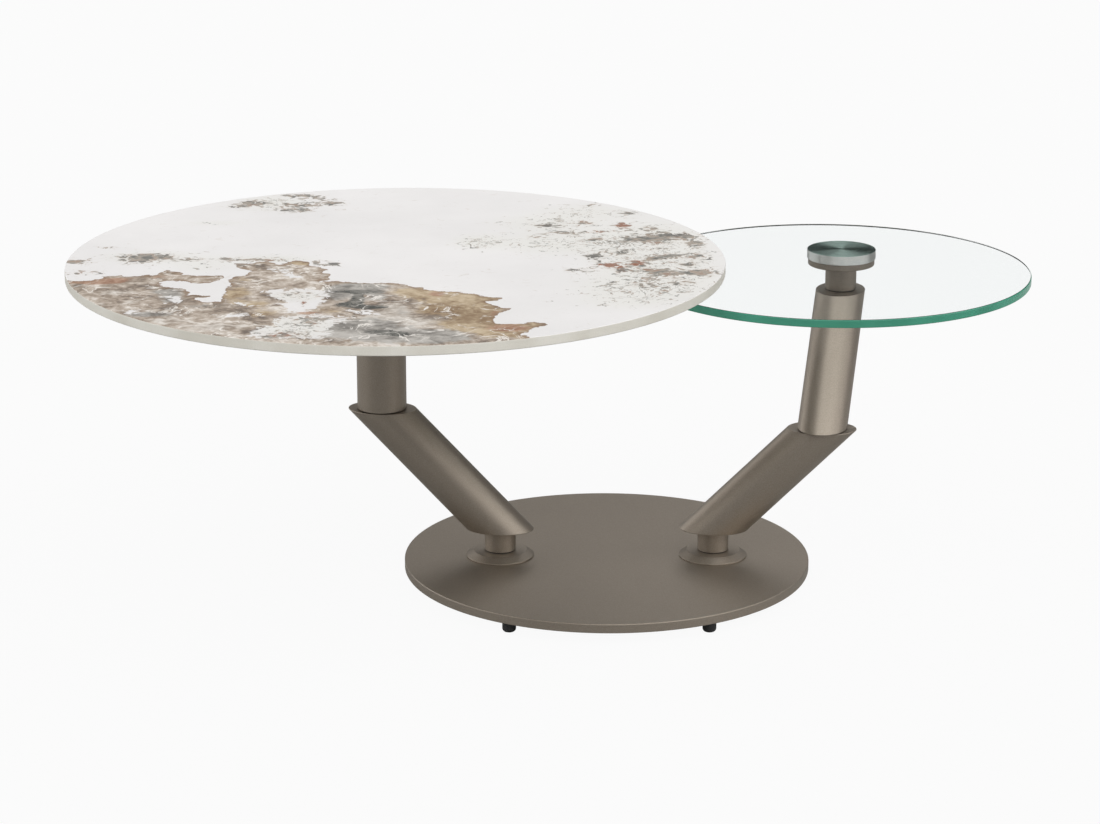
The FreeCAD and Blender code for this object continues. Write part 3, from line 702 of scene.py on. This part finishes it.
# %% Spots of each tone
SPOTS = {
    "gold": [(10, -40, 12, 9, 0.9), (22, -50, 12, 10, 1), (25, -64, 9, 12, 0.9), (28, -80, 14, 8, 1),
             (38, -84, 9, 8, 1.1), (12, -62, 5, 6, 0.6), (-45, -42, 5, 8, 0.9), (-39, -54, 7, 5, 0.8),
             (-35, -65, 6, 5, 0.7), (-17, -61, 6, 5, 0.7), (-29, -5, 5, 4, 0.8), (-45, -25, 6, 5, 0.5)],
    "pale": [(2, -60, 6, 10, 0.8), (10, -74, 8, 7, 0.7), (-3, -70, 6, 5, 0.7), (-48, -80, 14, 7, 0.7),
             (-62, -72, 8, 5, 0.6), (-80, -40, 9, 6, 0.6), (-75, -53, 7, 5, 0.5), (-36, -30, 6, 4, 0.5),
             (-10, -93, 8, 4, 0.6)],
    "grey": [(-9, -34, 10, 5, 1), (-15, -44, 5, 7, 1.1), (-4, -45, 4, 7, 0.8), (-6, -79, 12, 10, 1.1),
             (2, -90, 18, 8, 0.9), (16, -90, 9, 9, 0.8), (-65, -40, 6, 6, 0.8), (-68, -66, 10, 4, 0.8),
             (-47, -7, 4, 3, 0.8), (-63, -50, 5, 6, 0.6), (5, -60, 5, 10, 0.4)],
    "rust": [(-85, -27, 7, 4, 1.2), (-93, -28, 6, 3, 0.8), (-68, -22, 10, 4, 0.5), (35, -81, 7, 5, 0.9),
             (31, -66, 2, 8, 0.7), (14, -43, 4, 4, 0.8), (-22, -64.5, 5, 2, 0.8), (70, 45, 3, 7, 1.3),
             (64, 36, 7, 4, 1), (65, -7, 6, 6, 1.2), (68, -15, 5, 4, 0.9), (74, -5, 3, 6, 1),
             (88, 5, 7, 3, 0.7), (-24.5, -54, 2, 5, 1.2), (-28, -87, 7, 4, 1), (-93, -17, 7, 3, 0.8)],
    "dark": [(-10, -40, 8, 2, 1.1), (-9, -48, 2, 6, 1.2), (-11, -55, 4, 3, 1.3), (-5, -58, 5, 2.5, 1.2),
             (0, -85.5, 4.5, 2.5, 1.5), (5.5, -88, 3, 2, 1.1), (-53, -57, 10, 4, 0.4), (-19, -6, 4, 4, 1),
             (47, 43, 5, 5, 1.1), (85, 32, 8, 3, 1.2), (60, 3, 4, 6, 1.2), (88, -7, 3, 2, 1),
             (72, 63, 3, 4, 0.8), (-50, 77, 6, 4, 0.6), (-38, 89, 5, 2, 0.7)],
    "stain": [(46, 44, 6, 4, 1), (49, 52, 2, 3, 0.9), (58, 48, 4, 4, 0.9), (70, 45, 2.5, 6, 1.1),
              (63, 36, 5, 3, 0.8), (61, 26, 3, 3, 1), (85, 31, 9, 4, 1.3), (80, 24, 8, 6, 0.9),
              (92, 20, 3, 7, 1), (81, 14, 4, 4, 0.8), (68, 9, 5, 6, 1), (60, 4, 3, 5, 1.1),
              (65, -7, 6, 5, 1), (68, -15, 5, 4, 0.9), (74, -5, 4, 5, 0.9), (79, -16, 5, 6, 1.2),
              (90, -17, 7, 4, 1.1), (88, -7, 3, 2, 1), (88, 5, 7, 4, 0.8), (72, 62, 3, 5, 1),
              (60, 74, 5, 3, 0.7), (93, -5, 6, 20, 0.4), (-38, 88, 7, 3, 0.9), (-50, 77, 6, 5, 1),
              (-35, 74, 10, 5, 0.9), (-37, 66, 9, 4, 0.8), (-79, 1, 6, 7, 1.3), (-30, 84, 5, 4, 0.9),
              (-24, 77, 4, 4, 0.9), (-72, 3, 5, 5, 1), (-56, 72, 4, 4, 0.9), (52, 34, 5, 4, 0.9),
              (42, 30, 4, 4, 0.8), (78, 40, 5, 4, 1), (72, 26, 5, 4, 1), (80, 2, 5, 4, 1),
              (55, -14, 5, 4, 0.8), (85, -28, 5, 5, 1), (72, -32, 5, 4, 0.9), (-90, 15, 4, 1.5, 1),
              (-97, -3, 5, 4, 1.1), (-63, -1, 5, 2.5, 1), (-52, 0, 3, 2, 0.9), (-19, -6, 3.5, 3.5, 1.4),
              (-24, -4, 1.5, 3, 1.2), (-42, -1, 10, 3, 0.8), (-27, -43, 5, 5, 0.9), (-24.5, -54, 1, 5, 1.2),
              (-21, -72, 8, 6, 0.9), (-27, -87, 9, 5, 0.9), (-93, -17, 7, 3, 1)],
    "fleck": [(80, -10, 22, 30, 0.8), (80, 30, 20, 25, 0.8), (48, 20, 22, 14, 0.8), (24, 23, 8, 10, 0.7),
              (45, 48, 18, 14, 0.7), (75, -35, 22, 16, 0.7), (68, -52, 16, 12, 0.5), (60, 66, 18, 12, 0.6),
              (-45, 78, 14, 14, 0.8), (-60, 48, 12, 4, 0.6), (-75, 3, 18, 9, 0.8), (-58, -10, 12, 8, 0.6),
              (-38, 0, 16, 6, 0.8), (-25, -80, 14, 14, 1), (-27, -45, 9, 7, 0.9)]}
print("spots of each tone:", {tone: len(spots) for tone, spots in SPOTS.items()})

# %% [markdown]
# ## Stone top: the finish
# The shader turns the stored fields into stone. It starts from a handful of noises of different sizes.
# Noise makes the edge of the mass ragged and breaks the tones into patches. A thin line where a noise
# passes its middle is a vein, and a stain shows where a noise and its field together pass a level. Each
# of these is a coat with a share of its own, and the coats are laid over each other as a printer lays inks.

# %% Noises, shares and coats
SOFT = {"interpolation_type": "SMOOTHSTEP"}
NOISE_ROUGHNESS = 0.56
NOISE_MIDDLE = 0.5
LINE_CORE = 0.25
# Of each coat: weight of its field, start, end and most
ONSETS = {"tone": (0.8, 0.78, 1.08, 0.9), "border": (30 * MM, 28 * MM, 14 * MM, 0.6),
          "ink": (0.36, 0.68, 0.96, 0.9), "pool": (0.33, 0.6, 0.78, 0.35),
          "stain": (0.33, 0.735, 0.78, 0.9), "speck": (0.2, 0.77, 0.81, 0.85),
          "chip": (0.18, 0.79, 0.84, 0.7), "thread": (0.26, 0.69, 0.77, 0.8)}
Noise = namedtuple("Noise", "size detail bend")
NOISES = {"broad": Noise(160, 3, 0), "clouds": Noise(85, 8, 1.3), "veins": Noise(44, 4, 1.2),
          "gaps": Noise(50, 3, 0), "patches": Noise(28, 9, 1.4), "ragged": Noise(24, 9, 0.6),
          "threads": Noise(30, 4, 2), "tints": Noise(12, 5, 0.6), "stains": Noise(18, 5, 1.8),
          "breaks": Noise(16, 4, 0), "chips": Noise(11, 2, 2), "grit": Noise(8, 6, 0.6)}


def shown_past(tree, noise, field, coat):
    """A share that rises softly from none to the most, as noise + weight · field goes from start to end."""
    weight, start, end, most = ONSETS[coat]
    value = add(tree, "Math", WEIGH, {0: field, 1: weight, 2: noise})
    return add(tree, "MapRange", SOFT, {"Value": value, "From Min": start, "From Max": end, "To Max": most})


def shown_along(tree, noise, width, share):
    """A share of thin lines where a noise passes its middle, full in the core of a line's width."""
    off = add(tree, "Math", {"operation": "SUBTRACT"}, {0: noise, 1: NOISE_MIDDLE})
    gap = add(tree, "Math", {"operation": "ABSOLUTE"}, {0: off})
    line = add(tree, "MapRange", SOFT, {"Value": gap, "From Min": width, "From Max": width * LINE_CORE})
    return add(tree, "Math", TIMES, {0: line, 1: share})


def lay_coats(tree, colour, coats):
    """Lay coats over a colour in turn, each a share and a colour."""
    for share, over in coats:
        colour = add(tree, "Mix", RGBA, {"Factor": share, "A": colour, "B": over})
    return colour


print("marbling starts from", len(NOISES), "noises")

# %% The brown mass
TAUPE_STOPS = [(0.0, "#6c6056"), (0.3, "#938577"), (0.6, "#ac9e90"), (0.85, "#c2b7ab"), (1.0, "#dcd5cd")]
TONES = [("pale", "#a3988c", "#dcd6ce"), ("gold", "#82694c", "#bfac8e"), ("grey", "#74716c", "#b4b0aa"),
         ("rust", "#82583f", "#b1907a"), ("dark", "#3f413d", "#7c7a74")]


def mass_colour(tree, noises, fields, edge):
    """Taupe stone in cloudy layers, with tones in their spots, dark and pale veins and a brown border."""
    layered = add(tree, "Math", WEIGH, {0: noises["patches"], 1: 0.7, 2: noises["clouds"]})
    tone = add(tree, "Math", WEIGH, {0: noises["grit"], 1: 0.5, 2: layered})
    shade = add(tree, "MapRange", SOFT, {"Value": tone, "From Min": 0.84, "From Max": 1.32})
    taupe = add(tree, "ValToRGB", {}, {"Fac": shade}, TAUPE_STOPS)
    coats = []
    for name, deep, light in TONES:
        mixed = lay_coats(tree, linear(deep), [(shade, linear(light))])
        coats.append((shown_past(tree, noises["patches"], fields[name], "tone"), mixed))
    near_dark = add(tree, "MapRange", SOFT, {"Value": fields["dark"], "From Min": 0.1, "From Max": 0.6})
    coats.append((shown_along(tree, noises["patches"], 0.03, near_dark), linear("#3a3d39")))
    some = add(tree, "MapRange", SOFT,
               {"Value": noises["gaps"], "From Min": 0.46, "From Max": 0.58, "To Max": 0.85})
    coats.append((shown_along(tree, noises["veins"], 0.028, some), linear("#e8e3dc")))
    coats.append((shown_past(tree, edge, noises["patches"], "border"), linear("#856c52")))
    rim = add(tree, "MapRange", SOFT,
              {"Value": edge, "From Min": 3.5 * MM, "From Max": 1 * MM, "To Max": 0.5})
    coats.append((rim, linear("#745842")))
    return lay_coats(tree, taupe, coats)


print("tones of the mass:", ", ".join(tone[0] for tone in TONES))

# %% The white field with its stains and flecks
def field_colour(tree, noises, fields):
    """Warm white stone with stains of grey, taupe, rust and near black, broken threads and small chips."""
    white = add(tree, "ValToRGB", {}, {"Fac": noises["broad"]}, [(0.3, "#e0dedd"), (0.7, "#e7e5e4")])
    inks = [(shown_past(tree, noises["tints"], fields[name], "ink"), linear(code))
            for name, code in (("rust", "#8a5030"), ("dark", "#3c3e3b"))]
    tint = add(tree, "ValToRGB", {}, {"Fac": noises["tints"]},
               [(0.34, "#5b5b57"), (0.45, "#837f77"), (0.54, "#a3978a"), (0.66, "#957b6b")])
    tint = lay_coats(tree, tint, inks)
    fleck = fields["fleck"]
    haze = add(tree, "MapRange", SOFT, {"Value": fleck, "From Min": 0.1, "From Max": 0.9, "To Max": 0.5})
    broken = shown_past(tree, noises["breaks"], fleck, "thread")
    return lay_coats(tree, white, [
        (haze, linear("#dcdbd3")),
        (shown_past(tree, noises["stains"], fields["stain"], "pool"), linear("#c4baae")),
        (shown_past(tree, noises["stains"], fields["stain"], "stain"), tint),
        (shown_past(tree, noises["stains"], fleck, "speck"), tint),
        (shown_past(tree, noises["chips"], fleck, "chip"), tint),
        (shown_along(tree, noises["threads"], 0.035, broken), tint)])


print("the white field has stains, threads and chips")

# %% Marbled face
EDGE_WANDER = 30
SHORE_WANDER = 60


def ragged(tree, noise, depth, amount):
    """A depth moved in and out by noise, by this amount in millimetres."""
    pushed = add(tree, "Math", WEIGH, {0: noise, 1: amount * MM, 2: depth})
    return add(tree, "Math", {"operation": "SUBTRACT"}, {0: pushed, 1: amount * MM / 2})


def make_stone_face():
    """Satin sintered stone: the mass over the white field, with white islands, all with ragged edges."""
    material, tree, shader, where = start_material("marbled sintered stone")
    noises = {name: add(tree, "TexNoise", {}, {"Vector": where, "Scale": per(noise.size),
                                               "Detail": noise.detail, "Roughness": NOISE_ROUGHNESS,
                                               "Distortion": noise.bend})
              for name, noise in NOISES.items()}
    fields = {name: add(tree, "Attribute", {"attribute_name": name}).outputs["Fac"]
              for name in (*SPOTS, "depth", "island")}
    edge = ragged(tree, noises["ragged"], fields["depth"], EDGE_WANDER)
    shore = ragged(tree, noises["stains"], fields["island"], SHORE_WANDER)
    inside = add(tree, "MapRange", SOFT, {"Value": edge, "From Min": 0.0, "From Max": 1.5 * MM})
    island = add(tree, "MapRange", SOFT,
                 {"Value": shore, "From Min": -2 * MM, "From Max": 3 * MM, "To Max": 0.95})
    white = field_colour(tree, noises, fields)
    mass = lay_coats(tree, mass_colour(tree, noises, fields, edge), [(island, white)])
    face = lay_coats(tree, white, [(inside, mass)])
    rough = add(tree, "MapRange", {}, {"Value": noises["grit"], "To Min": 0.64, "To Max": 0.76})
    bump = add(tree, "Bump", {}, {"Height": noises["grit"], "Strength": 0.04, "Distance": 0.2 * MM})
    feed(shader, {"Base Color": face, "Roughness": rough, "IOR": 1.5, "Normal": bump})
    return finish_material(material, "sintered_stone")


stone_face = make_stone_face()

# %% [markdown]
# The edge and the underside show the plain fired body, ground and lightly polished.

# %% Plain fired body
def make_stone_body():
    """Cut and polished body of sintered stone: warm off-white with a fine grain of about 1 mm."""
    material, tree, shader, where = start_material("sintered stone body")
    grain = add(tree, "TexNoise", {}, {"Vector": where, "Scale": per(1.4), "Detail": 3.0})
    cloud = add(tree, "TexNoise", {}, {"Vector": where, "Scale": per(60)})
    blend = add(tree, "Math", WEIGH, {0: grain, 1: 0.4, 2: cloud})
    colour = add(tree, "ValToRGB", {}, {"Fac": blend}, [(0.5, "#d4d0c5"), (0.9, "#e3e0d7")])
    bump = add(tree, "Bump", {}, {"Height": grain, "Strength": 0.1, "Distance": 0.1 * MM})
    feed(shader, {"Base Color": colour, "Roughness": 0.55, "IOR": 1.5, "Normal": bump})
    return finish_material(material, "sintered_stone")


stone_body = make_stone_body()

# %% Skin of the stone top
STONE_EDGE = 1.2 * MM
STONE_RINGS = 150
RING_POWER = 0.7
STONE_AROUND = 400


def stone_rows():
    """A disc whose upper face has rings at radius · s^0.7, closest near the rim, for the stored fields."""
    rows = round_corners(stack(stone, straight(stone), STONE_AROUND), [0, STONE_EDGE, STONE_EDGE, 0])
    share = np.linspace(1, 0, STONE_RINGS + 1)[:, None, None] ** RING_POWER
    return np.concatenate([rows[:-2], rows[-1] + (rows[-2] - rows[-1]) * share])


stone_mesh = lay_mesh("stone_disc", [stone_rows()], closed=False)
percent = stone.radius / 100
places = (read(stone_mesh.vertices, "co", 3)[:, :2] - [stone.x, stone.y]) / percent
depths = [depth_inside(places, np.array(outline)) for outline in (MASS_OUTLINE, *ISLAND_OUTLINES)]
fields = {name: soft_spots(places, spots) for name, spots in SPOTS.items()}
fields["depth"] = depths[0] * percent
fields["island"] = np.max(depths[1:], axis=0) * percent
for name, values in fields.items():
    stored = stone_mesh.attributes.new(name, "FLOAT", "POINT")
    stored.data.foreach_set("value", values.astype(np.float32))
add_piece(stone_mesh, stone_face, "stone_column", "stone_top")
heights = read(stone_mesh.polygons, "center", 3)[:, 2]
second_finish(stone_mesh, stone_body, heights < stone.top - STONE_EDGE / 2)
print("brown mass covers", round(100 * float((fields["depth"] > 0).mean())), "percent of the vertices")

# %% [markdown]
# ## Hardware that stays as the CAD made it
# Spindles, nuts, washers, screws and bushes are hidden or show only as thin lines, and their CAD shapes
# are right. They keep their meshes and get real finishes: zinc plated steel, acetal and silicone.

# %% Finishes of the hardware
def make_plain(name, slot, deep, light, size, roughness, ior=1.5, metallic=0.0):
    """A finish with mottled colour and a fine bump, both with features of the given millimetres."""
    material, tree, shader, where = start_material(name)
    mottle = add(tree, "TexNoise", {}, {"Vector": where, "Scale": per(size), "Detail": 4.0})
    colour = add(tree, "ValToRGB", {}, {"Fac": mottle}, [(0.35, deep), (0.65, light)])
    rough = add(tree, "MapRange", {},
                {"Value": mottle, "To Min": roughness * 0.8, "To Max": roughness * 1.2})
    bump = add(tree, "Bump", {}, {"Height": mottle, "Strength": 0.05, "Distance": 0.1 * MM})
    feed(shader, {"Base Color": colour, "Roughness": rough, "Metallic": metallic, "IOR": ior,
                  "Normal": bump})
    return finish_material(material, slot)


hardware = [
    make_plain("zinc plated steel", "zinc_steel", "#a2a6a8", "#bfc2c3", 4, 0.35, metallic=1.0),
    make_plain("black acetal", "black_plastic", "#121212", "#1d1d1d", 2, 0.5, ior=1.48),
    make_plain("natural acetal", "bush_plastic", "#d6d1c4", "#e4e0d6", 3, 0.45, ior=1.48),
    make_plain("grey silicone", "silicone_bond", "#8c8c8a", "#9b9b98", 3, 0.6, ior=1.41)]
finishes = {finish.slot: finish.material for finish in (powder_coat, *hardware)}
kept = [s for s in frame["record"]["subparts"] if not frame["nodes"][s["node"]].hide_render]
for subpart in kept:
    frame["nodes"][subpart["node"]].material_slots[0].material = finishes[subpart["material_slot"]]
print(len(kept), "CAD nodes keep their shape")

# %% [markdown]
# ## Studio
# The table stands on a plain pale floor under soft light. A broad softbox above the camera lights the tops
# and gives the tubes their long highlights, weaker ones stand at the sides and behind, and the rest of the
# studio is dim. Lamps could do this too, but softboxes drawn on the surroundings have soft edges in every
# reflection.

# %% Floor
FLOOR_HALF = 40.0
SEEN_SHARES = {"Is Camera Ray": 0.94, "Is Glossy Ray": 0.1, "Is Transmission Ray": 1.0}


def make_floor():
    """A level square in matt pale paint, lifted towards white for what looks at it.

    From below it is clear, so that the underside of the table can be looked at.
    """
    material, tree, shader, where = start_material("matt pale floor")
    cloud = add(tree, "TexNoise", {}, {"Vector": where, "Scale": per(900)})
    colour = add(tree, "ValToRGB", {}, {"Fac": cloud}, [(0.3, "#a6a6a5"), (0.7, "#aaaaa9")])
    feed(shader, {"Base Color": colour, "Roughness": 0.9, "Specular IOR Level": 0.0})
    path = add(tree, "LightPath").outputs
    share = 0.0
    for ray, most in SEEN_SHARES.items():
        part = add(tree, "Math", TIMES, {0: path[ray], 1: most})
        share = add(tree, "Math", {"operation": "MAXIMUM"}, {0: part, 1: share})
    white = add(tree, "Emission", {}, {"Color": linear("#ffffff")})
    seen = add(tree, "MixShader", {}, {0: share, 1: shader, 2: white})
    below = add(tree, "NewGeometry").outputs["Backfacing"]
    one_way = add(tree, "MixShader", {}, {0: below, 1: seen, 2: add(tree, "BsdfTransparent")})
    feed(tree.nodes["Material Output"], {"Surface": one_way})
    corner = FLOOR_HALF * np.array([[-1, -1, 0], [1, -1, 0], [1, 1, 0], [-1, 1, 0]])
    mesh = bpy.data.meshes.new("floor")
    mesh.from_pydata(corner.tolist(), [], [(0, 1, 2, 3)])
    mesh.materials.append(material)
    floor = bpy.data.objects.new("floor", mesh)
    scene.collection.objects.link(floor)
    floor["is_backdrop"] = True
    return floor


floor = make_floor()
print("floor is", round(floor.dimensions.x), "m wide")

# %% Light
DIM_FRONT = 0.1
DIM_BACK = 0.16
SOFT_EDGE = 12
Softbox = namedtuple("Softbox", "name way spread level")
SOFTBOXES = [
    Softbox("key", (0.06, -0.6, 0.8), 32, 1.85), Softbox("high left", (-0.52, -0.4, 0.75), 26, 0.6),
    Softbox("left", (-0.95, -0.1, 0.2), 24, 1.4), Softbox("right", (0.85, -0.32, 0.42), 30, 1.5),
    Softbox("back", (0.14, 0.66, 0.74), 18, 1.1), Softbox("back left", (-0.75, 0.48, 0.28), 20, 1.3)]


def make_world():
    """Dim surroundings with soft-edged discs of light.

    The dim level goes from front to back along +Y. A softbox adds its level where the angle between a
    direction and the softbox's own way is less than its spread, in degrees, and fades over its soft edge.
    The camera itself sees plain white past the floor.
    """
    world = bpy.data.worlds.new("studio")
    world.use_nodes = True
    tree = world.node_tree
    toward = add(tree, "TexCoord").outputs["Generated"]
    depth = add(tree, "SeparateXYZ", {}, {"Vector": toward}).outputs["Y"]
    level = add(tree, "MapRange", {},
                {"Value": depth, "From Min": -1.0, "To Min": DIM_FRONT, "To Max": DIM_BACK})
    for box in SOFTBOXES:
        way = unit(np.array(box.way))
        near = add(tree, "VectorMath", {"operation": "DOT_PRODUCT"}, {0: toward, 1: way})
        outer, inner = [math.cos(math.radians(box.spread + sign * SOFT_EDGE)) for sign in (1, -1)]
        lit = add(tree, "MapRange", SOFT,
                  {"Value": near, "From Min": outer, "From Max": inner, "To Max": box.level})
        level = add(tree, "Math", {"operation": "ADD"}, {0: level, 1: lit})
        print(box.name, "softbox of", box.level)
    camera_ray = add(tree, "LightPath").outputs["Is Camera Ray"]
    shown = add(tree, "Mix", {}, {"Factor": camera_ray, "A": level, "B": 1.0})
    feed(tree.nodes["Background"], {"Color": linear("#ffffff"), "Strength": shown})
    scene.world = world


make_world()

# %% [markdown]
# ## Camera
# The photograph was taken from a standing height, a few metres away, with a long lens, so the upright
# column stays upright and the two tops are slim ovals. Its place was worked out from the ovals of the
# two tops and the disc.

# %% Camera and view
PHOTO_WIDTH = 1100
FOCAL_PIXELS = 3265
CAMERA_AT = (-0.0729, -3.988, 1.3964)
LOOK_DOWN = 16.46
camera = bpy.data.cameras.new("camera")
camera.lens = camera.sensor_width * FOCAL_PIXELS / PHOTO_WIDTH
viewer = bpy.data.objects.new("camera", camera)
viewer.location = CAMERA_AT
viewer.rotation_euler = (math.radians(90 - LOOK_DOWN), 0, 0)
scene.collection.objects.link(viewer)
scene.camera = viewer
scene.view_settings.view_transform = "Standard"
print("lens of", round(camera.lens, 1), "mm")

# %% Gather both boxes and finish
visual_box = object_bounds()
boxes = {"cad": [list(corner) for corner in cad_box], "visual": [list(corner) for corner in visual_box]}
print("visual box", [[round(value, 4) for value in corner] for corner in boxes["visual"]])
